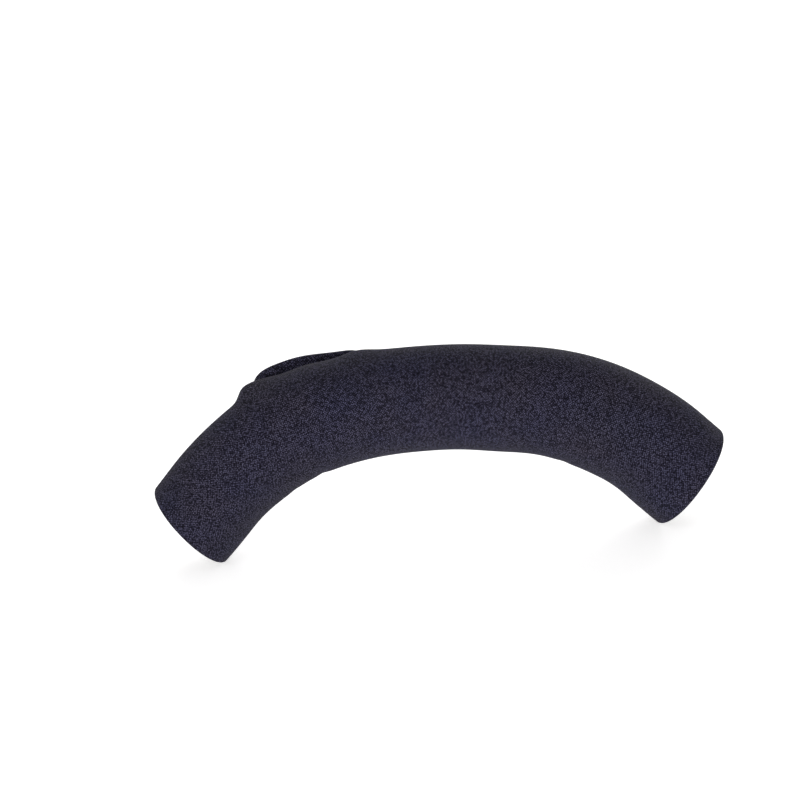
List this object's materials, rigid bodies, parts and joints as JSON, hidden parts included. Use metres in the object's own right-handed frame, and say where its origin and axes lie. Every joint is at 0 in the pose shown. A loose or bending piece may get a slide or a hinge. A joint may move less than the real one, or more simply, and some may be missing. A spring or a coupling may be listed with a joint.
{
  "type": "tube hand guard",
  "caption": "Padded knit-faced sleeve, bent to wrap the curved main tube of a brass instrument, slit along the back and closed by hook-and-loop tabs.",
  "frame": {"origin": "middle of the tunnel, halfway along the sleeve, at the crown of the arch", "axes": "+X along the arch from its left end to its right end, +Y to the back where the slit and tabs are, +Z out of the bend at the crown"},
  "size_m": [0.1648, 0.0357, 0.0586],
  "materials": {
    "knit_cover": "pebbly crepe knit",
    "neoprene_foam": "closed-cell sponge",
    "jersey_lining": "smooth jersey",
    "loop_tape": "brushed loop pile",
    "hook_tape": "moulded nylon hooks",
    "thread": "twisted polyester thread"
  },
  "bodies": {
    "sleeve": {"sleeve_cover": "knit_cover", "sleeve_foam": "neoprene_foam", "sleeve_lining": "jersey_lining", "left_loop_tape": "loop_tape", "left_loop_stitching": "thread", "left_tab_root_cover": "knit_cover", "left_tab_root_foam": "neoprene_foam", "left_tab_root_lining": "jersey_lining", "left_root_stitching": "thread", "right_loop_tape": "loop_tape", "right_loop_stitching": "thread", "right_tab_root_cover": "knit_cover", "right_tab_root_foam": "neoprene_foam", "right_tab_root_lining": "jersey_lining", "right_root_stitching": "thread"},
    "left_tab": {"left_tab_cover": "knit_cover", "left_tab_foam": "neoprene_foam", "left_tab_lining": "jersey_lining", "left_hook_tape": "hook_tape", "left_hook_stitching": "thread"},
    "right_tab": {"right_tab_cover": "knit_cover", "right_tab_foam": "neoprene_foam", "right_tab_lining": "jersey_lining", "right_hook_tape": "hook_tape", "right_hook_stitching": "thread"}
  },
  "joints": [
    {"name": "left_tab_peel", "type": "hinge", "parent": "sleeve", "child": "left_tab", "pos_m": [-0.02622, 0.01334, -0.01819], "axis": [-0.9735, 0, -0.2287], "range_deg": [0, 110]},
    {"name": "right_tab_peel", "type": "hinge", "parent": "sleeve", "child": "right_tab", "pos_m": [0.02622, 0.01334, -0.01819], "axis": [-0.9735, 0, 0.2287], "range_deg": [0, 110]}
  ]
}
